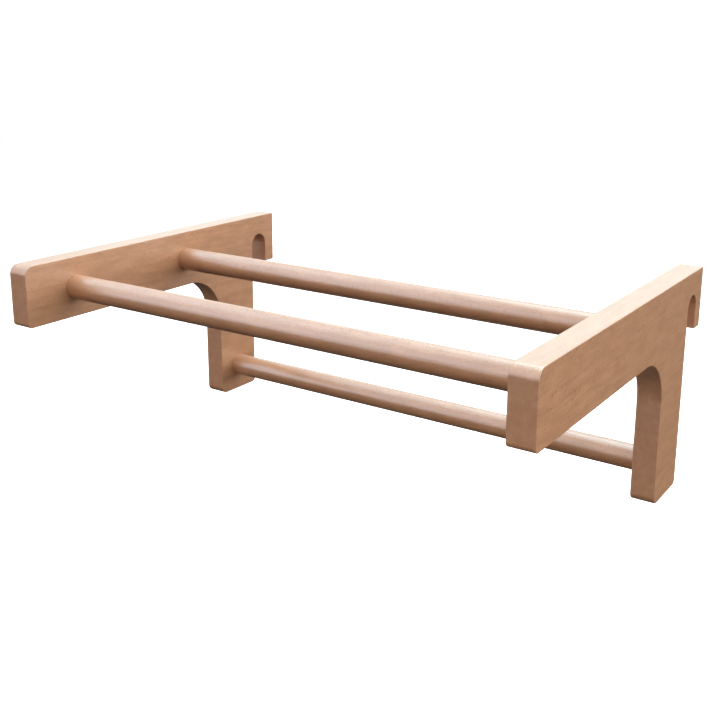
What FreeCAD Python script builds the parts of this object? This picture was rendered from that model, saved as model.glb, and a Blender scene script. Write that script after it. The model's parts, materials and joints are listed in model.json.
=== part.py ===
import FreeCAD, Part
import os

# A pull-up bar that hooks over one rung of a set of wall bars: two side brackets, three round
# bars let into them, and a plugged screw that locks each bar end.
# The origin is the middle of the rung that the hooks hang on. X runs along the bars, +Y points
# back to the wall and +Z up. All sizes are in millimetres.

# Driving dimensions
overall_width = 720.0      # over the outer faces of the two brackets
overall_depth = 490.0      # arm, from its front end to the back of the hook
overall_height = 273.0     # top of the arm to the foot of the leg
board = 30.0               # thickness of a bracket
rail = 80.0                # height of the arm, and width of the leg
rung_radius = 16.0         # half of the slot that the wall bar's rung sits in
wood_over_rung = 30.0
tine = 20.0                # thickness of the hook behind the rung
tine_drop = 30.5           # how far the hook reaches below the middle of the rung
bar_radius = 16.0
front_bar_setback = 79.0   # front end of the arm to the front bar
bar_spacing = 207.0        # front bar to middle bar
arch_radius = 63.0         # inner corner between the arm and the leg

# Rounding of the outline's corners, and easing of all its edges
arm_top_round = 12.0
arm_under_round = 6.5
foot_front_round = 11.0
foot_rear_round = 6.5
hook_round = 1.5
edge_easing = 1.0

# Blind sockets for the bar ends
socket_depth = 24.0
socket_gap = 0.1           # all round the bar
bar_end_gap = 1.0          # between the end of the bar and the bottom of the socket

# Locking screws and their plugs, set into the underside of the arm and of the leg
screw_inset = 12.0         # from the inner face of the bracket
screw_length = 40.0
screw_radius = 2.5
screw_core_radius = 1.7
thread_pitch = 2.5
thread_turns = 9
thread_flank = 0.3         # height of each side of a thread's groove, as a part of the pitch
tip_length = 3.5
head_radius = 4.85
head_rim = 0.4
recess_width = 4.6
recess_slot = 1.2
recess_depth = 2.0
plug_radius = 4.95
plug_gap = 0.05            # all round the plug
plug_length = 8.0
plug_chamfer = 0.5
head_depth = 8.5           # from the underside to the top of the head
screw_gap = 0.15           # all round the shank and the thread
tip_gap = 1.0

# Working values
overcut = 1.0              # how far a cutting solid stands out of the wood
tolerance = 0.001

# Worked out from the driving dimensions
arm_top = rung_radius + wood_over_rung
arm_under = arm_top - rail
hook_rear = rung_radius + tine
arm_front = hook_rear - overall_depth
leg_rear = -rung_radius
leg_front = leg_rear - rail
foot = arm_top - overall_height
inner_face = overall_width / 2 - board
bar_reach = inner_face + socket_depth - bar_end_gap
screw_x = inner_face + screw_inset
half_rail = rail / 2

# Where each bar lies: (y, z) of its axis. Every bar is half a rail above the wood's underside.
front_bar_y = arm_front + front_bar_setback
bar_places = {
    "front": (front_bar_y, arm_under + half_rail),
    "middle": (front_bar_y + bar_spacing, arm_under + half_rail),
    "lower": (leg_rear - half_rail, foot + half_rail),
}

# The bracket's outline in the YZ plane: (y, z, radius of the corner)
outline_corners = [
    (arm_front, arm_top, arm_top_round),
    (hook_rear, arm_top, hook_round),
    (hook_rear, -tine_drop, hook_round),
    (rung_radius, -tine_drop, hook_round),
    (rung_radius, rung_radius, rung_radius),
    (-rung_radius, rung_radius, rung_radius),
    (leg_rear, foot, foot_rear_round),
    (leg_front, foot, foot_front_round),
    (leg_front, arm_under, arch_radius),
    (arm_front, arm_under, arm_under_round),
]


def vector(x, y, z):
    return FreeCAD.Vector(x, y, z)


def rounded_corner(before, corner, after, radius):
    """Start, middle and end of the arc that rounds a square corner."""
    toward = (before - corner).normalize()
    away = (after - corner).normalize()
    centre = corner + toward * radius + away * radius
    middle = centre + (corner - centre).normalize() * radius
    return corner + toward * radius, middle, corner + away * radius


def bracket_outline(x):
    """The closed outline of a bracket in the plane at x."""
    points = [vector(x, y, z) for y, z, radius in outline_corners]
    count = len(points)
    arcs = []
    for i in range(count):
        radius = outline_corners[i][2]
        arcs.append(rounded_corner(points[i - 1], points[i], points[(i + 1) % count], radius))
    edges = []
    for i in range(count):
        start, middle, end = arcs[i]
        edges.append(Part.Arc(start, middle, end).toShape())
        following = arcs[(i + 1) % count][0]
        if (following - end).Length > tolerance:
            edges.append(Part.LineSegment(end, following).toShape())
    return Part.Wire(edges)


def edges_across_x(solid):
    """The edges that lie in one plane at right angles to X."""
    return [edge for edge in solid.Edges if edge.BoundBox.XLength < tolerance]


def upright_cylinder(radius, x, y, bottom, top):
    return Part.makeCylinder(radius, top - bottom, vector(x, y, bottom))


def screw_hole(side, y, underside):
    """The plug's hole, the seat for the screw head, and the hole for its shank."""
    x = side * screw_x
    wide = plug_radius + plug_gap
    narrow = screw_radius + screw_gap
    seat = underside + head_depth + head_rim + screw_gap
    seat_end = seat + wide - narrow
    hole = upright_cylinder(wide, x, y, underside - overcut, seat)
    cone = Part.makeCone(wide, narrow, seat_end - seat, vector(x, y, seat))
    shank = upright_cylinder(narrow, x, y, seat_end, underside + half_rail)
    return hole.fuse([cone, shank])


def bracket(side):
    """One side bracket: -1 is the left one and 1 the right one."""
    inner = side * inner_face
    outer = side * overall_width / 2
    board_face = Part.Face(bracket_outline(inner))
    solid = board_face.extrude(vector(outer - inner, 0, 0))
    solid = solid.makeFillet(edge_easing, edges_across_x(solid))
    for y, z in bar_places.values():
        mouth = vector(inner - side * overcut, y, z)
        socket = Part.makeCylinder(bar_radius + socket_gap, socket_depth + overcut,
                                   mouth, vector(side, 0, 0))
        solid = solid.cut(socket)
        solid = solid.cut(screw_hole(side, y, z - half_rail))
    return solid


def bar(y, z):
    """A round bar with eased ends and a hole near each end for its locking screw."""
    solid = Part.makeCylinder(bar_radius, 2 * bar_reach, vector(-bar_reach, y, z), vector(1, 0, 0))
    solid = solid.makeChamfer(edge_easing, edges_across_x(solid))
    hole_top = z - half_rail + head_depth + screw_length + tip_gap
    for side in (-1, 1):
        hole = upright_cylinder(screw_radius + screw_gap, side * screw_x, y, z - rail, hole_top)
        solid = solid.cut(hole)
    return solid


def screw_profile():
    """Half section of a countersunk wood screw standing on its head, as (radius, height)."""
    cone_end = head_rim + head_radius - screw_radius
    thread_start = screw_length - tip_length - thread_turns * thread_pitch
    points = [(0, 0), (head_radius, 0), (head_radius, head_rim), (screw_radius, cone_end),
              (screw_radius, thread_start)]
    for turn in range(thread_turns):
        points.append((screw_core_radius, thread_start + (turn + thread_flank) * thread_pitch))
        points.append((screw_core_radius, thread_start + (turn + 1 - thread_flank) * thread_pitch))
        points.append((screw_radius, thread_start + (turn + 1) * thread_pitch))
    points.append((screw_core_radius, screw_length - tip_length + thread_flank * thread_pitch))
    points.append((0, screw_length))
    return points


def cross_recess(x, y, head_top):
    """The cross-shaped driver recess in the screw's head."""
    slots = []
    for width, depth in ((recess_width, recess_slot), (recess_slot, recess_width)):
        corner = vector(x - width / 2, y - depth / 2, head_top - overcut)
        slots.append(Part.makeBox(width, depth, recess_depth + overcut, corner))
    return slots[0].fuse(slots[1])


def screw(x, y, head_top):
    """A wood screw that points up, with its head at the bottom."""
    points = [vector(x + radius, y, head_top + height) for radius, height in screw_profile()]
    section = Part.Face(Part.makePolygon(points + points[:1]))
    solid = section.revolve(vector(x, y, 0), vector(0, 0, 1), 360)
    return solid.cut(cross_recess(x, y, head_top))


def plug(x, y, underside):
    """A round wooden plug, flush with the underside and chamfered at its inner end."""
    solid = upright_cylinder(plug_radius, x, y, underside, underside + plug_length)
    inner_rim = [edge for edge in solid.Edges
                 if edge.BoundBox.ZMin > underside + plug_length - tolerance]
    return solid.makeChamfer(plug_chamfer, inner_rim)


def save(shape, node):
    shape.exportStep("parts/" + node + ".step")
    print(node, round(shape.Volume), shape.isValid(), len(shape.Solids))


os.makedirs("parts", exist_ok=True)
save(bracket(-1), "left_bracket")
save(bracket(1), "right_bracket")
for place, (y, z) in bar_places.items():
    save(bar(y, z), place + "_bar")
    for side_name, side in (("left", -1), ("right", 1)):
        underside = z - half_rail
        save(screw(side * screw_x, y, underside + head_depth), place + "_" + side_name + "_screw")
        save(plug(side * screw_x, y, underside), place + "_" + side_name + "_plug")
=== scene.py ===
import json
import math
import bpy
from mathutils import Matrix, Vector


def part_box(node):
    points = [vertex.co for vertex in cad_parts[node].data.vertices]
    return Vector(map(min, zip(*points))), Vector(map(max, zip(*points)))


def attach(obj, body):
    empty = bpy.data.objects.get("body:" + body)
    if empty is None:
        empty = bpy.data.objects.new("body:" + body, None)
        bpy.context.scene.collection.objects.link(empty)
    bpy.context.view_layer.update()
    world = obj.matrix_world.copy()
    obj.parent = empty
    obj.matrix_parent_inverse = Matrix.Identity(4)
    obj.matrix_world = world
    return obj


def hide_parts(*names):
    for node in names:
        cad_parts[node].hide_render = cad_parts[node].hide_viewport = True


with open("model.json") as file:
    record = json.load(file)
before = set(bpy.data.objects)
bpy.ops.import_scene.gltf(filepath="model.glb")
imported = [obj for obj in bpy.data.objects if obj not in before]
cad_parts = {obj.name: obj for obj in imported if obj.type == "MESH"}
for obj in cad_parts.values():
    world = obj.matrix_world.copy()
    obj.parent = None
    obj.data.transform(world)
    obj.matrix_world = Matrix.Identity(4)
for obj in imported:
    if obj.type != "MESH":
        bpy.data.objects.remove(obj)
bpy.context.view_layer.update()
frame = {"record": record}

scene = bpy.context.scene
mm = 0.001
sides = {"left": -1, "right": 1}
places = ("front", "middle", "lower")

mounts = {mount["name"]: mount for mount in frame["record"]["mounts"]}
rungRadius = mounts["rung_seat"]["dims"]["r_mm"] * mm
barRadius = mounts["front_bar_grip"]["dims"]["r_mm"] * mm


# ---- small helpers for node trees

def fill(tree, socket, value):
    if isinstance(value, bpy.types.NodeSocket):
        tree.links.new(value, socket)
    else:
        socket.default_value = value


def addNode(tree, kind, inputs=None, **settings):
    node = tree.nodes.new(kind)
    for name, value in settings.items():
        setattr(node, name, value)
    for name, value in (inputs or {}).items():
        fill(tree, node.inputs[name], value)
    return node


def doMath(tree, operation, *values):
    node = addNode(tree, "ShaderNodeMath", operation=operation)
    for index, value in enumerate(values):
        fill(tree, node.inputs[index], value)
    return node.outputs[0]


def doVector(tree, operation, *values):
    node = addNode(tree, "ShaderNodeVectorMath", operation=operation)
    for index, value in enumerate(values):
        fill(tree, node.inputs[index], value)
    return node.outputs["Value" if operation in ("LENGTH", "DOT_PRODUCT") else "Vector"]


def remap(tree, value, fromLow, fromHigh, toLow=0.0, toHigh=1.0, kind="SMOOTHSTEP"):
    node = addNode(tree, "ShaderNodeMapRange", {
        "Value": value, "From Min": fromLow, "From Max": fromHigh,
        "To Min": toLow, "To Max": toHigh}, interpolation_type=kind)
    return node.outputs["Result"]


def endTree(tree, result, geometry, material):
    real = addNode(tree, "GeometryNodeRealizeInstances", {"Geometry": geometry})
    done = addNode(tree, "GeometryNodeSetMaterial", {
        "Geometry": real.outputs["Geometry"], "Material": material})
    fill(tree, result["Geometry"], done.outputs["Geometry"])


def newGroup(name, treeKind, inputs, outputs):
    tree = bpy.data.node_groups.new(name, treeKind)
    for label, socketKind in inputs.items():
        tree.interface.new_socket(label, in_out="INPUT", socket_type="NodeSocket" + socketKind)
    for label, socketKind in outputs.items():
        tree.interface.new_socket(label, in_out="OUTPUT", socket_type="NodeSocket" + socketKind)
    return tree, addNode(tree, "NodeGroupInput").outputs, addNode(tree, "NodeGroupOutput").inputs


# ---- small helpers for pieces

def addObject(name, data):
    piece = bpy.data.objects.new(name, data)
    scene.collection.objects.link(piece)
    return piece


def pointsObject(name, points, edges=()):
    mesh = bpy.data.meshes.new(name)
    mesh.from_pydata(points, edges, [])
    return addObject(name, mesh)


def growNodes(piece, tree, values):
    # the inputs are set by identifier, before the piece is first evaluated
    modifier = piece.modifiers.new(tree.name, "NODES")
    modifier.node_group = tree
    identifiers = {item.name: item.identifier for item in tree.interface.items_tree}
    for name, value in values.items():
        modifier[identifiers[name]] = value


def easeEdges(piece, width, segments):
    modifier = piece.modifiers.new("easedEdges", "BEVEL")
    modifier.width = width
    modifier.segments = segments
    modifier.limit_method = "ANGLE"
    modifier.angle_limit = math.radians(40)


def settle(piece, smoothAngle):
    # what the modifiers make becomes the piece's own plain mesh
    bpy.context.view_layer.update()
    evaluated = piece.evaluated_get(bpy.context.evaluated_depsgraph_get())
    mesh = bpy.data.meshes.new_from_object(evaluated)
    finish = mesh.materials[-1]
    mesh.materials.clear()
    mesh.materials.append(finish)
    mesh.polygons.foreach_set("material_index", [0] * len(mesh.polygons))
    piece.modifiers.clear()
    piece.data = mesh
    mesh.shade_smooth()
    mesh.set_sharp_from_angle(angle=math.radians(smoothAngle))
    modifier = piece.modifiers.new("evenFaces", "WEIGHTED_NORMAL")
    modifier.keep_sharp = True
    modifier.weight = 100


def finishPiece(piece, slotName, *nodes):
    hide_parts(*nodes)
    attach(piece, "root")


# ---- camera

cameraSetup = {
    "place": (0.6975, -1.2328, 0.3272),
    "azimuth": 34.84,
    "elevation": 13.53,
    "lens": 51.16,
    "shiftX": 0.0159,
    "shiftY": -0.1092,
}


def makeCamera():
    data = bpy.data.cameras.new("camera")
    data.lens = cameraSetup["lens"]
    data.shift_x = cameraSetup["shiftX"]
    data.shift_y = cameraSetup["shiftY"]
    camera = addObject("camera", data)
    camera.location = cameraSetup["place"]
    camera.rotation_euler = (math.radians(90 - cameraSetup["elevation"]), 0,
                             math.radians(cameraSetup["azimuth"]))
    scene.camera = camera


# ---- materials

beech = {
    "pale": (0.625, 0.332, 0.178, 1),
    "dark": (0.46, 0.230, 0.114, 1),
    "ray": (0.34, 0.16, 0.075, 1),
    "endGrain": (0.51, 0.226, 0.118, 1),
    "ringShare": 0.45,             # how far each part of the figure darkens the wood
    "cloudShare": 0.55,
    "fibreShare": 0.3,
    "ringWidth": 3.1 * mm,
    "waviness": 5 * mm,
    "roughness": (0.32, 0.44),     # on dense late wood, and on open fibres
    "fibreDepth": 0.012 * mm,
    "waveDepth": 0.12 * mm,        # slow waves left by sanding
    "endGrainShare": (0.3, 0.7),   # in pale streaks, and in dark ones
    "rayShare": 0.55,
    "rayDip": 0.5,                 # rays lie lower than the fibres round them
    # width and strength of the painted highlight along eased edges
    "paintedHighlightWidth": 1.2 * mm,
    "paintedHighlightShare": 0.25,
    "sheen": 0.7,
    "coatWeight": 1.0,             # satin lacquer
    "coatRoughness": 0.36,
    "coatIndex": 1.85,
}

# how fine each part of the figure is, along the grain and across it
figureScale = {
    "waves": (2.5, 14, 14),
    "years": 70,
    "ray": (3.4 * mm, 4 * mm, 0.9 * mm),    # along the grain, towards the pith, round it
    "fibres": (10, 480, 480),
    "clouds": (30, 115, 115),
}

# where each piece was cut from its log: grain direction (turn), the pith's place beside it, and its tone
logPlaces = {
    "bracketLeft": {"turn": (-90, -90, 1.5), "shift": (0.7, 0.13, -0.19), "tone": (0.93, 0.885, 0.83, 1)},
    "bracketRight": {"turn": (-90, -90, -1.0), "shift": (0.2, 0.16, -0.62), "tone": (1, 0.985, 0.955, 1)},
    "barFront": {"turn": (0, 0.4, 0.6), "shift": (0.3, 0.42, 0.06), "tone": (0.94, 0.84, 0.78, 1)},
    "barMiddle": {"turn": (0, -0.5, 0.3), "shift": (1.1, 0.12, 0.05), "tone": (0.93, 0.83, 0.77, 1)},
    "barLower": {"turn": (0, 0.3, -0.5), "shift": (2.3, 0.14, 0.23), "tone": (0.95, 0.86, 0.80, 1)},
    "plugs": {"turn": (0, 90, 0), "shift": (0.4, 0.05, 0.04), "tone": (1, 0.92, 0.85, 1)},
}


def makeFigureGroup():
    # the figure inside a beech log: X runs along the grain, and the pith is at the origin
    tree, given, result = newGroup("beechFigure", "ShaderNodeTree", {
        "Vector": "Vector", "Ring Width": "Float", "Waviness": "Float"}, {
        "Rings": "Float", "Rays": "Float", "Fibres": "Float", "Clouds": "Float"})
    waves = addNode(tree, "ShaderNodeTexNoise", {
        "Vector": doVector(tree, "MULTIPLY", given["Vector"], figureScale["waves"]),
        "Scale": 1.0, "Detail": 2.0})
    push = addNode(tree, "ShaderNodeVectorMath", {
        "Vector": doVector(tree, "SUBTRACT", waves.outputs["Color"], (0.5, 0.5, 0.5)),
        "Scale": given["Waviness"]}, operation="SCALE")
    wood = doVector(tree, "ADD", given["Vector"], push.outputs["Vector"])
    along = addNode(tree, "ShaderNodeSeparateXYZ", {"Vector": wood}).outputs
    radius = doVector(tree, "LENGTH", doVector(tree, "MULTIPLY", wood, (0, 1, 1)))
    arc = doMath(tree, "MULTIPLY", doMath(tree, "ARCTAN2", along["Z"], along["Y"]), radius)

    # wide and narrow years
    years = addNode(tree, "ShaderNodeTexNoise", {
        "W": doMath(tree, "MULTIPLY", radius, figureScale["years"]), "Scale": 1.0,
        "Detail": 1.0}, noise_dimensions="1D")
    age = doMath(tree, "ADD", doMath(tree, "DIVIDE", radius, given["Ring Width"]),
                 doMath(tree, "MULTIPLY", years.outputs["Fac"], 3))
    lateWood = doMath(tree, "POWER", doMath(tree, "FRACT", age), 3)
    strength = addNode(tree, "ShaderNodeTexWhiteNoise", {
        "W": doMath(tree, "FLOOR", age)}, noise_dimensions="1D").outputs["Value"]
    rings = doMath(tree, "MULTIPLY", lateWood, remap(tree, strength, 0, 1, 0.35, 1, "LINEAR"))
    fill(tree, result["Rings"], rings)

    # rays are thin ribbons: short along the grain, long towards the pith
    rayLong, rayDeep, rayThick = figureScale["ray"]
    rayPlace = addNode(tree, "ShaderNodeCombineXYZ", {
        "X": doMath(tree, "DIVIDE", along["X"], rayLong),
        "Y": doMath(tree, "DIVIDE", radius, rayDeep),
        "Z": doMath(tree, "DIVIDE", arc, rayThick)})
    rayNoise = addNode(tree, "ShaderNodeTexNoise", {
        "Vector": rayPlace.outputs["Vector"], "Scale": 1.0, "Detail": 1.0})
    fill(tree, result["Rays"], remap(tree, rayNoise.outputs["Fac"], 0.58, 0.68))

    fibres = addNode(tree, "ShaderNodeTexNoise", {
        "Vector": doVector(tree, "MULTIPLY", wood, figureScale["fibres"]), "Scale": 1.0, "Detail": 3.0})
    fill(tree, result["Fibres"], fibres.outputs["Fac"])
    clouds = addNode(tree, "ShaderNodeTexNoise", {
        "Vector": doVector(tree, "MULTIPLY", wood, figureScale["clouds"]), "Scale": 1.0, "Detail": 4.0})
    fill(tree, result["Clouds"], remap(tree, clouds.outputs["Fac"], 0.3, 0.7))
    return tree


def makePaintedHighlightGroup():
    # painted highlight: the rim of an eased edge is lightened in colour, standing in for the thin highlight
    # that catches along it
    tree, given, result = newGroup("paintedEdgeHighlight", "ShaderNodeTree", {"Width": "Float"}, {"Rim": "Float"})
    rounded = addNode(tree, "ShaderNodeBevel", {"Radius": given["Width"]}, samples=6)
    facing = addNode(tree, "ShaderNodeNewGeometry").outputs["Normal"]
    alike = doVector(tree, "DOT_PRODUCT", rounded.outputs["Normal"], facing)
    fill(tree, result["Rim"], remap(tree, alike, 0.995, 0.9))
    return tree


def mixColour(tree, share, first, second):
    node = addNode(tree, "ShaderNodeMix", data_type="RGBA")
    for socket, value in ((node.inputs[0], share), (node.inputs[6], first), (node.inputs[7], second)):
        fill(tree, socket, value)
    return node.outputs[2]


def makeBeech(name, grainAxis):
    place = logPlaces[name]
    material = bpy.data.materials.new(name + "Beech")
    material.use_nodes = True
    tree = material.node_tree
    shader = tree.nodes["Principled BSDF"]
    coordinates = addNode(tree, "ShaderNodeTexCoord").outputs
    log = addNode(tree, "ShaderNodeMapping", {
        "Vector": coordinates["Object"], "Location": place["shift"],
        "Rotation": [math.radians(angle) for angle in place["turn"]]})
    figure = addNode(tree, "ShaderNodeGroup", node_tree=bpy.data.node_groups["beechFigure"])
    fill(tree, figure.inputs["Vector"], log.outputs["Vector"])
    figure.inputs["Ring Width"].default_value = beech["ringWidth"]
    figure.inputs["Waviness"].default_value = beech["waviness"]
    # mask for the painted highlight along the eased edges
    paintedHighlight = addNode(tree, "ShaderNodeGroup", node_tree=bpy.data.node_groups["paintedEdgeHighlight"])
    paintedHighlight.inputs["Width"].default_value = beech["paintedHighlightWidth"]

    # a face across the grain shows the ends of the fibres, and drinks more of the finish
    across = doMath(tree, "ABSOLUTE", doVector(tree, "DOT_PRODUCT", coordinates["Normal"], grainAxis))
    endGrain = doMath(tree, "MULTIPLY", remap(tree, across, 0.5, 1),
                      remap(tree, figure.outputs["Clouds"], 0, 1, *beech["endGrainShare"], "LINEAR"))
    depth = doMath(tree, "ADD", doMath(tree, "MULTIPLY", figure.outputs["Rings"], beech["ringShare"]),
                   doMath(tree, "MULTIPLY", figure.outputs["Clouds"], beech["cloudShare"]))
    depth = doMath(tree, "ADD", depth,
                   doMath(tree, "MULTIPLY", figure.outputs["Fibres"], beech["fibreShare"]))
    colour = mixColour(tree, depth, beech["pale"], beech["dark"])
    colour = mixColour(tree, doMath(tree, "MULTIPLY", figure.outputs["Rays"], beech["rayShare"]),
                       colour, beech["ray"])
    colour = mixColour(tree, endGrain, colour, beech["endGrain"])
    # painted highlight: the eased edges are mixed towards the pale wood colour
    colour = mixColour(tree, doMath(tree, "MULTIPLY", paintedHighlight.outputs["Rim"], beech["paintedHighlightShare"]),
                       colour, beech["pale"])
    tone = addNode(tree, "ShaderNodeMix", data_type="RGBA", blend_type="MULTIPLY")
    for socket, value in ((tone.inputs[0], 1.0), (tone.inputs[6], colour), (tone.inputs[7], place["tone"])):
        fill(tree, socket, value)
    fill(tree, shader.inputs["Base Color"], tone.outputs[2])

    smoothest, roughest = beech["roughness"]
    fill(tree, shader.inputs["Roughness"],
         remap(tree, figure.outputs["Fibres"], 0.25, 0.75, smoothest, roughest))
    fine = doMath(tree, "SUBTRACT", figure.outputs["Fibres"],
                  doMath(tree, "MULTIPLY", figure.outputs["Rays"], beech["rayDip"]))
    height = doMath(tree, "ADD", doMath(tree, "MULTIPLY", fine, beech["fibreDepth"]),
                    doMath(tree, "MULTIPLY", figure.outputs["Clouds"], beech["waveDepth"]))
    bump = addNode(tree, "ShaderNodeBump", {"Height": height, "Distance": 1.0})
    fill(tree, shader.inputs["Normal"], bump.outputs["Normal"])
    shader.inputs["Specular IOR Level"].default_value = beech["sheen"]
    shader.inputs["Coat Weight"].default_value = beech["coatWeight"]
    shader.inputs["Coat IOR"].default_value = beech["coatIndex"]
    shader.inputs["Coat Roughness"].default_value = beech["coatRoughness"]
    return material


zinc = {
    "colour": (0.66, 0.64, 0.58, 1),
    "tarnish": (0.42, 0.40, 0.34, 1),
    "roughness": (0.25, 0.5),
    "bloomScale": 450.0,
    "bloomDepth": 0.02 * mm,
}


def makeZinc():
    material = bpy.data.materials.new("zincPlate")
    material.use_nodes = True
    tree = material.node_tree
    shader = tree.nodes["Principled BSDF"]
    spot = addNode(tree, "ShaderNodeTexCoord").outputs["Object"]
    bloom = addNode(tree, "ShaderNodeTexNoise", {
        "Vector": spot, "Scale": zinc["bloomScale"], "Detail": 4.0})
    share = remap(tree, bloom.outputs["Fac"], 0.35, 0.7)
    fill(tree, shader.inputs["Base Color"], mixColour(tree, share, zinc["colour"], zinc["tarnish"]))
    fill(tree, shader.inputs["Roughness"], remap(tree, share, 0, 1, *zinc["roughness"]))
    bump = addNode(tree, "ShaderNodeBump", {
        "Height": bloom.outputs["Fac"], "Distance": zinc["bloomDepth"]})
    fill(tree, shader.inputs["Normal"], bump.outputs["Normal"])
    shader.inputs["Metallic"].default_value = 1.0
    return material


# ---- brackets

bracket = {
    "rail": 80 * mm,              # height of the arm and width of the leg
    "tineDrop": 30.5 * mm,        # hook, from the middle of the rung down
    "archRadius": 63 * mm,
    "armTopRound": 12 * mm,
    "armUnderRound": 6.5 * mm,
    "footFrontRound": 11 * mm,
    "footRearRound": 6.5 * mm,
    "hookRound": 1.5 * mm,
    "edgeEase": 1.0 * mm,
    "arcStep": 1.3 * mm,          # longest facet on a rounded corner, at least four to a corner
    "socketDepth": 24 * mm,
    "socketGap": 0.1 * mm,
    "plugHoleRadius": 5 * mm,
    "plugHoleDepth": 9 * mm,
    "shankHoleRadius": 2.65 * mm,
    "drillFacets": 72,
    "drillStart": 1 * mm,         # a drill starts this far outside the wood
}
closeGap = 0.01 * mm
sliver = 0.002 * mm


def cornerList():
    # the outline's corners as (Y, Z, rounding), clockwise from the front of the arm
    low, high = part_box("left_bracket")
    armUnder = high.z - bracket["rail"]
    legFront = -rungRadius - bracket["rail"]
    return [
        (low.y, high.z, bracket["armTopRound"]),
        (high.y, high.z, bracket["hookRound"]),
        (high.y, -bracket["tineDrop"], bracket["hookRound"]),
        (rungRadius, -bracket["tineDrop"], bracket["hookRound"]),
        (rungRadius, rungRadius, rungRadius),
        (-rungRadius, rungRadius, rungRadius),
        (-rungRadius, low.z, bracket["footRearRound"]),
        (legFront, low.z, bracket["footFrontRound"]),
        (legFront, armUnder, bracket["archRadius"]),
        (low.y, armUnder, bracket["armUnderRound"]),
    ]


def makeBoardTree():
    # rounds each corner of a flat outline by its own radius and gives it thickness
    tree, given, result = newGroup("cutBoard", "GeometryNodeTree", {
        "Geometry": "Geometry", "Thickness": "Float", "Inner Face": "Float", "Material": "Material"},
        {"Geometry": "Geometry"})
    outline = addNode(tree, "GeometryNodeMeshToCurve", {"Mesh": given["Geometry"]})
    rounding = addNode(tree, "GeometryNodeInputNamedAttribute", {"Name": "rounding"}, data_type="FLOAT")
    steps = addNode(tree, "GeometryNodeInputNamedAttribute", {"Name": "steps"}, data_type="INT")
    rounded = addNode(tree, "GeometryNodeFilletCurve", {
        "Curve": outline.outputs["Curve"], "Radius": rounding.outputs["Attribute"],
        "Count": steps.outputs["Attribute"]}, mode="POLY")
    face = addNode(tree, "GeometryNodeFillCurve", {"Curve": rounded.outputs["Curve"]}, mode="NGONS")
    face = addNode(tree, "GeometryNodeMergeByDistance", {
        "Geometry": face.outputs["Mesh"], "Distance": closeGap}).outputs["Geometry"]
    offset = addNode(tree, "ShaderNodeCombineXYZ", {"Z": given["Thickness"]})
    raised = addNode(tree, "GeometryNodeExtrudeMesh", {
        "Mesh": face, "Offset": offset.outputs["Vector"], "Offset Scale": 1.0, "Individual": False})
    under = addNode(tree, "GeometryNodeFlipFaces", {"Mesh": face})
    board = addNode(tree, "GeometryNodeJoinGeometry")
    tree.links.new(under.outputs["Mesh"], board.inputs["Geometry"])
    tree.links.new(raised.outputs["Mesh"], board.inputs["Geometry"])
    board = addNode(tree, "GeometryNodeMergeByDistance", {
        "Geometry": board.outputs["Geometry"], "Distance": closeGap})
    place = addNode(tree, "ShaderNodeCombineXYZ", {"X": given["Inner Face"]})
    # stood up: the outline's X and Y become the row's Y and Z
    quarter = math.radians(90)
    stood = addNode(tree, "GeometryNodeTransform", {
        "Geometry": board.outputs["Geometry"], "Translation": place.outputs["Vector"],
        "Rotation": (quarter, 0, quarter)})
    endTree(tree, result, stood.outputs["Geometry"], given["Material"])
    return tree


def makeDrillTree():
    # drills a hole at each point of another object; a taper makes it a countersink
    tree, given, result = newGroup("drillHoles", "GeometryNodeTree", {
        "Geometry": "Geometry", "Points": "Object", "Turn": "Vector", "Depth": "Float",
        "Mouth Radius": "Float", "End Radius": "Float", "Material": "Material"},
        {"Geometry": "Geometry"})
    bit = addNode(tree, "GeometryNodeMeshCone", {
        "Vertices": bracket["drillFacets"], "Radius Bottom": given["Mouth Radius"],
        "Radius Top": given["End Radius"], "Depth": given["Depth"]})
    spots = addNode(tree, "GeometryNodeObjectInfo", {"Object": given["Points"]})
    turn = addNode(tree, "FunctionNodeEulerToRotation", {"Euler": given["Turn"]})
    bits = addNode(tree, "GeometryNodeInstanceOnPoints", {
        "Points": spots.outputs["Geometry"], "Instance": bit.outputs["Mesh"],
        "Rotation": turn.outputs["Rotation"]})
    real = addNode(tree, "GeometryNodeRealizeInstances", {"Geometry": bits.outputs["Instances"]})
    cut = addNode(tree, "GeometryNodeMeshBoolean", {
        "Mesh 1": given["Geometry"], "Mesh 2": real.outputs["Geometry"]},
        operation="DIFFERENCE", solver="EXACT")
    # where two drills meet on one circle, the cut leaves slivers, which are closed up
    whole = addNode(tree, "GeometryNodeMergeByDistance", {
        "Geometry": cut.outputs["Mesh"], "Distance": sliver})
    endTree(tree, result, whole.outputs["Geometry"], given["Material"])
    return tree


def barCentre(place):
    low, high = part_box(place + "_bar")
    return (low.y + high.y) / 2, (low.z + high.z) / 2


def screwCentre(place, sideName):
    low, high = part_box(f"{place}_{sideName}_screw")
    return (low.x + high.x) / 2, (low.y + high.y) / 2, low.z


def drill(piece, name, points, turn, depth, mouth, end, material):
    helper = pointsObject(name, points)
    growNodes(piece, bpy.data.node_groups["drillHoles"], {
        "Points": helper, "Turn": turn, "Depth": depth, "Mouth Radius": mouth,
        "End Radius": end, "Material": material})
    return helper


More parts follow.
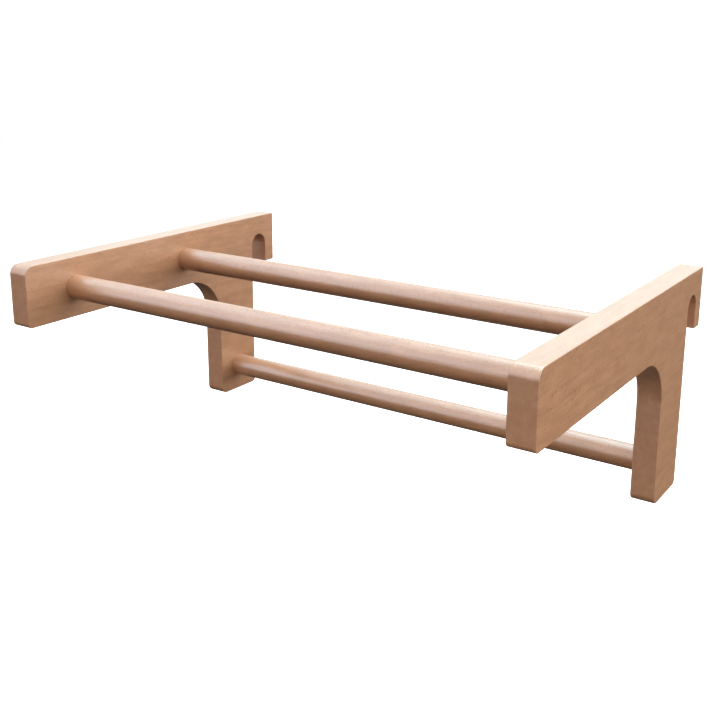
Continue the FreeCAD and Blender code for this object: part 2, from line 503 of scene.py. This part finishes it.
def makeBracket(sideName, side):
    name = "bracket" + sideName.capitalize()
    material = makeBeech(name, (0, 1, 0))
    low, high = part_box(sideName + "_bracket")
    innerFace = low.x if side > 0 else high.x
    corners = cornerList()
    count = len(corners)
    piece = pointsObject(name, [(y, z, 0) for y, z, rounding in corners],
                         [(i, (i + 1) % count) for i in range(count)])
    roundings = piece.data.attributes.new("rounding", "FLOAT", "POINT")
    steps = piece.data.attributes.new("steps", "INT", "POINT")
    for index, (y, z, rounding) in enumerate(corners):
        roundings.data[index].value = rounding
        steps.data[index].value = max(4, round(rounding / bracket["arcStep"]))
    growNodes(piece, bpy.data.node_groups["cutBoard"], {
        "Thickness": high.x - low.x, "Inner Face": low.x, "Material": material})
    easeEdges(piece, bracket["edgeEase"], 3)

    screwX = screwCentre("front", sideName)[0]
    feet = [(screwX, barCentre(place)[0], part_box(f"{place}_{sideName}_plug")[0].z) for place in places]
    start = bracket["drillStart"]
    mouths = [(innerFace - side * start, *barCentre(place)) for place in places]
    wide, narrow = bracket["plugHoleRadius"], bracket["shankHoleRadius"]
    deep = bracket["plugHoleDepth"]
    socket = barRadius + bracket["socketGap"]
    helpers = [
        drill(piece, "sockets", mouths, (0, side * math.radians(90), 0),
              bracket["socketDepth"] + start, socket, socket, material),
        drill(piece, "plugHoles", [(x, y, z - start) for x, y, z in feet], (0, 0, 0),
              deep + start, wide, wide, material),
        drill(piece, "countersinks", [(x, y, z + deep) for x, y, z in feet], (0, 0, 0),
              wide - narrow, wide, narrow, material),
        drill(piece, "shankHoles", [(x, y, z + deep) for x, y, z in feet], (0, 0, 0),
              bracket["rail"] / 2 - deep, narrow, narrow, material),
    ]
    settle(piece, 35)
    for helper in helpers:
        bpy.data.objects.remove(helper)
    finishPiece(piece, "bracket_wood", sideName + "_bracket")


# ---- bars

bar = {
    "endEase": 1.0 * mm,
    "facets": 128,
    "screwHoleRadius": 2.65 * mm,
    "tipRoom": 1 * mm,
}


def makeBarTree():
    tree, given, result = newGroup("roundBar", "GeometryNodeTree", {
        "Geometry": "Geometry", "Length": "Float", "Radius": "Float", "Centre": "Vector",
        "Facets": "Int", "Material": "Material"}, {"Geometry": "Geometry"})
    rod = addNode(tree, "GeometryNodeMeshCylinder", {
        "Vertices": given["Facets"], "Radius": given["Radius"], "Depth": given["Length"]})
    laid = addNode(tree, "GeometryNodeTransform", {
        "Geometry": rod.outputs["Mesh"], "Rotation": (0, math.radians(90), 0),
        "Translation": given["Centre"]})
    endTree(tree, result, laid.outputs["Geometry"], given["Material"])
    return tree


def makeBar(place):
    name = "bar" + place.capitalize()
    material = makeBeech(name, (1, 0, 0))
    low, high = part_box(place + "_bar")
    piece = pointsObject(name, [])
    growNodes(piece, bpy.data.node_groups["roundBar"], {
        "Length": high.x - low.x, "Radius": barRadius, "Centre": (0, *barCentre(place)),
        "Facets": bar["facets"], "Material": material})
    easeEdges(piece, bar["endEase"], 2)
    holeRadius = bar["screwHoleRadius"]
    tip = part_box(place + "_left_screw")[1].z + bar["tipRoom"]
    mouths = [(*screwCentre(place, sideName)[:2], low.z - bar["tipRoom"]) for sideName in sides]
    helper = drill(piece, "screwHoles", mouths, (0, 0, 0), tip - mouths[0][2],
                   holeRadius, holeRadius, material)
    settle(piece, 35)
    bpy.data.objects.remove(helper)
    finishPiece(piece, "bar_wood", place + "_bar")


# ---- screws and plugs

screw = {
    "radius": 2.5 * mm,
    "coreRadius": 1.7 * mm,
    "headRadius": 4.85 * mm,
    "headRim": 0.4 * mm,
    "pitch": 2.5 * mm,
    "threadLength": 26 * mm,
    "tipLength": 3.5 * mm,
    "recess": (4.6 * mm, 1.2 * mm, 4 * mm),
    "facets": 24,
    "rings": 160,
}
plugCut = {"rimEase": 0.25 * mm, "facets": 64}


def makeScrewTree():
    # a unit cylinder is drawn in to the screw's radius at each height and angle, then set on each point
    tree, given, result = newGroup("woodScrews", "GeometryNodeTree", {
        "Geometry": "Geometry", "Length": "Float", "Radius": "Float", "Core Radius": "Float",
        "Head Radius": "Float", "Head Rim": "Float", "Pitch": "Float", "Thread Length": "Float",
        "Tip Length": "Float", "Recess": "Vector", "Seed": "Int", "Material": "Material"},
        {"Geometry": "Geometry"})
    blank = addNode(tree, "GeometryNodeMeshCylinder", {
        "Vertices": screw["facets"], "Side Segments": screw["rings"], "Radius": 1.0,
        "Depth": given["Length"]})
    spot = addNode(tree, "ShaderNodeSeparateXYZ", {
        "Vector": addNode(tree, "GeometryNodeInputPosition").outputs["Position"]}).outputs
    height = doMath(tree, "ADD", spot["Z"], doMath(tree, "MULTIPLY", given["Length"], 0.5))
    past = doMath(tree, "MAXIMUM", doMath(tree, "SUBTRACT", height, given["Head Rim"]), 0)
    head = doMath(tree, "MAXIMUM", doMath(tree, "SUBTRACT", given["Head Radius"], past), given["Radius"])
    turns = doMath(tree, "DIVIDE", doMath(tree, "ARCTAN2", spot["Y"], spot["X"]), math.tau)
    phase = doMath(tree, "FRACT", doMath(tree, "SUBTRACT", doMath(tree, "DIVIDE", height, given["Pitch"]),
                                         turns))
    crest = doMath(tree, "ABSOLUTE", doMath(tree, "SUBTRACT", doMath(tree, "MULTIPLY", phase, 2), 1))
    crest = remap(tree, crest, 0.4, 1, kind="LINEAR")
    rise = doMath(tree, "SUBTRACT", given["Radius"], given["Core Radius"])
    thread = doMath(tree, "ADD", given["Core Radius"], doMath(tree, "MULTIPLY", rise, crest))
    start = doMath(tree, "SUBTRACT", given["Length"], given["Thread Length"])
    threaded = remap(tree, height, start, doMath(tree, "ADD", start, given["Pitch"]))
    body = addNode(tree, "ShaderNodeMix", {0: threaded, 2: head, 3: thread}).outputs[0]
    tipStart = doMath(tree, "SUBTRACT", given["Length"], given["Tip Length"])
    body = doMath(tree, "MULTIPLY", body,
                  remap(tree, height, tipStart, given["Length"], 1, 0.05, "LINEAR"))
    shaped = addNode(tree, "ShaderNodeCombineXYZ", {
        "X": doMath(tree, "MULTIPLY", spot["X"], body), "Y": doMath(tree, "MULTIPLY", spot["Y"], body),
        "Z": height})
    shank = addNode(tree, "GeometryNodeSetPosition", {
        "Geometry": blank.outputs["Mesh"], "Position": shaped.outputs["Vector"]})

    # two crossed slots for the driver
    slots = addNode(tree, "GeometryNodeJoinGeometry")
    for angle in (0, 90):
        slotBox = addNode(tree, "GeometryNodeMeshCube", {"Size": given["Recess"]})
        turned = addNode(tree, "GeometryNodeTransform", {
            "Geometry": slotBox.outputs["Mesh"], "Rotation": (0, 0, math.radians(angle))})
        tree.links.new(turned.outputs["Geometry"], slots.inputs["Geometry"])
    cut = addNode(tree, "GeometryNodeMeshBoolean", {
        "Mesh 1": shank.outputs["Geometry"], "Mesh 2": slots.outputs["Geometry"],
        "Self Intersection": True}, operation="DIFFERENCE", solver="EXACT")

    spin = addNode(tree, "FunctionNodeRandomValue", {
        "Min": (0, 0, 0), "Max": (0, 0, math.tau), "Seed": given["Seed"]}, data_type="FLOAT_VECTOR")
    turn = addNode(tree, "FunctionNodeEulerToRotation", {"Euler": spin.outputs["Value"]})
    copies = addNode(tree, "GeometryNodeInstanceOnPoints", {
        "Points": given["Geometry"], "Instance": cut.outputs["Mesh"],
        "Rotation": turn.outputs["Rotation"]})
    endTree(tree, result, copies.outputs["Instances"], given["Material"])
    return tree


def makePlugTree():
    tree, given, result = newGroup("dowelPlugs", "GeometryNodeTree", {
        "Geometry": "Geometry", "Length": "Float", "Radius": "Float", "Material": "Material"},
        {"Geometry": "Geometry"})
    dowel = addNode(tree, "GeometryNodeMeshCone", {
        "Vertices": plugCut["facets"], "Radius Top": given["Radius"], "Radius Bottom": given["Radius"],
        "Depth": given["Length"]})
    copies = addNode(tree, "GeometryNodeInstanceOnPoints", {
        "Points": given["Geometry"], "Instance": dowel.outputs["Mesh"]})
    endTree(tree, result, copies.outputs["Instances"], given["Material"])
    return tree


def barEnds():
    return [(place, sideName) for place in places for sideName in sides]


def makeScrews():
    low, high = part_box("front_left_screw")
    piece = pointsObject("screws", [screwCentre(*spot) for spot in barEnds()])
    growNodes(piece, bpy.data.node_groups["woodScrews"], {
        "Length": high.z - low.z, "Radius": screw["radius"], "Core Radius": screw["coreRadius"],
        "Head Radius": screw["headRadius"], "Head Rim": screw["headRim"], "Pitch": screw["pitch"],
        "Thread Length": screw["threadLength"], "Tip Length": screw["tipLength"],
        "Recess": screw["recess"], "Seed": 4, "Material": makeZinc()})
    settle(piece, 40)
    finishPiece(piece, "screw_steel", *(f"{place}_{sideName}_screw" for place, sideName in barEnds()))


def makePlugs():
    low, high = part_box("front_left_plug")
    feet = []
    for place, sideName in barEnds():
        x, y = screwCentre(place, sideName)[:2]
        feet.append((x, y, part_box(f"{place}_{sideName}_plug")[0].z))
    piece = pointsObject("plugs", feet)
    growNodes(piece, bpy.data.node_groups["dowelPlugs"], {
        "Length": high.z - low.z, "Radius": (high.x - low.x) / 2,
        "Material": makeBeech("plugs", (0, 0, 1))})
    easeEdges(piece, plugCut["rimEase"], 2)
    settle(piece, 35)
    finishPiece(piece, "plug_wood", *(f"{place}_{sideName}_plug" for place, sideName in barEnds()))


# ---- studio

studio = {
    "aim": (0, -0.2, -0.05),      # what the softboxes point at
    "distance": 6.0,
    "floorDrop": 2.2,             # the bar hangs this far above the floor
    "floorSize": 40.0,
    "skyLow": (1.17, 1.13, 1.11),
    "skyHigh": (0.90, 0.91, 0.92),
    "skyUnder": (0.038, 0.034, 0.032),
    "skyRise": (0.1, 0.7),        # from low to high, as the sine of the angle above level
    "horizon": (-0.05, 0.05),
}

# turn: degrees round from the front towards the right; rise: degrees above level
softboxes = {
    "overhead": {"turn": 180, "rise": 85, "size": (2.8, 2.8), "power": 142, "tint": (0.68, 0.94, 1)},
    "rightSide": {"turn": 105, "rise": 13, "size": (5.5, 2.7), "power": 206, "tint": (1, 0.99, 0.98)},
    "frontLeft": {"turn": -36, "rise": 23, "size": (3.0, 4.9), "power": 80, "tint": (0.66, 0.81, 1)},
    "highLeft": {"turn": -86, "rise": 52, "size": (5.1, 3.0), "power": 88, "tint": (0.42, 0.76, 1)},
    "backLeft": {"turn": -154, "rise": 20, "size": (6.0, 3.4), "power": 22, "tint": (0.3, 0.9, 1)},
    "highBack": {"turn": -165, "rise": 55, "size": (3.6, 2.5), "power": 124, "tint": (0.66, 0.9, 1)},
}


def makeSoftbox(name, box):
    data = bpy.data.lights.new(name, "AREA")
    data.shape = "RECTANGLE"
    data.size, data.size_y = box["size"]
    data.energy = box["power"]
    data.color = box["tint"]
    turn, rise = math.radians(box["turn"]), math.radians(box["rise"])
    outward = Vector((math.sin(turn) * math.cos(rise), -math.cos(turn) * math.cos(rise), math.sin(rise)))
    lamp = addObject(name, data)
    lamp.location = Vector(studio["aim"]) + outward * studio["distance"]
    lamp.rotation_euler = (-outward).to_track_quat("-Z", "Y").to_euler()
    lamp.visible_camera = False


def makeSky():
    # hardly any light comes from below, and the camera sees plain white behind the bar
    world = bpy.data.worlds.new("studioSky")
    scene.world = world
    world.use_nodes = True
    tree = world.node_tree
    tree.nodes.clear()
    direction = addNode(tree, "ShaderNodeTexCoord").outputs["Generated"]
    rise = addNode(tree, "ShaderNodeSeparateXYZ", {"Vector": direction}).outputs["Z"]
    colour = mixColour(tree, remap(tree, rise, *studio["skyRise"]),
                       (*studio["skyLow"], 1), (*studio["skyHigh"], 1))
    colour = mixColour(tree, remap(tree, rise, *studio["horizon"]), (*studio["skyUnder"], 1), colour)
    light = addNode(tree, "ShaderNodeBackground", {"Color": colour})
    backdrop = addNode(tree, "ShaderNodeBackground", {"Color": (1, 1, 1, 1)})
    seen = addNode(tree, "ShaderNodeLightPath").outputs["Is Camera Ray"]
    both = addNode(tree, "ShaderNodeMixShader")
    for socket, value in zip(both.inputs, (seen, light.outputs[0], backdrop.outputs[0])):
        fill(tree, socket, value)
    out = addNode(tree, "ShaderNodeOutputWorld")
    tree.links.new(both.outputs[0], out.inputs["Surface"])


def makeFloor():
    half = studio["floorSize"] / 2
    mesh = bpy.data.meshes.new("floor")
    corners = [(-half, -half), (half, -half), (half, half), (-half, half)]
    mesh.from_pydata([(x, y, -studio["floorDrop"]) for x, y in corners], [], [(0, 1, 2, 3)])
    material = bpy.data.materials.new("paleFloor")
    material.use_nodes = True
    shader = material.node_tree.nodes["Principled BSDF"]
    shader.inputs["Base Color"].default_value = (0.92, 0.92, 0.92, 1)
    shader.inputs["Roughness"].default_value = 0.9
    shader.inputs["Emission Color"].default_value = (1, 1, 1, 1)
    shader.inputs["Emission Strength"].default_value = 1.0    # as white as the backdrop, out to its edge
    mesh.materials.append(material)
    floor = addObject("floor", mesh)
    floor.visible_diffuse = False
    floor.visible_glossy = False


makeCamera()
print("camera ready")
makeFigureGroup()
makePaintedHighlightGroup()
makeBoardTree()
makeDrillTree()
makeBarTree()
makeScrewTree()
makePlugTree()
print("node trees ready")
for sideName, side in sides.items():
    makeBracket(sideName, side)
print("brackets ready")
for place in places:
    makeBar(place)
print("bars ready")
makeScrews()
makePlugs()
print("screws and plugs ready")
for name, box in softboxes.items():
    makeSoftbox(name, box)
makeSky()
makeFloor()
scene.view_settings.view_transform = "Standard"
print("studio ready")
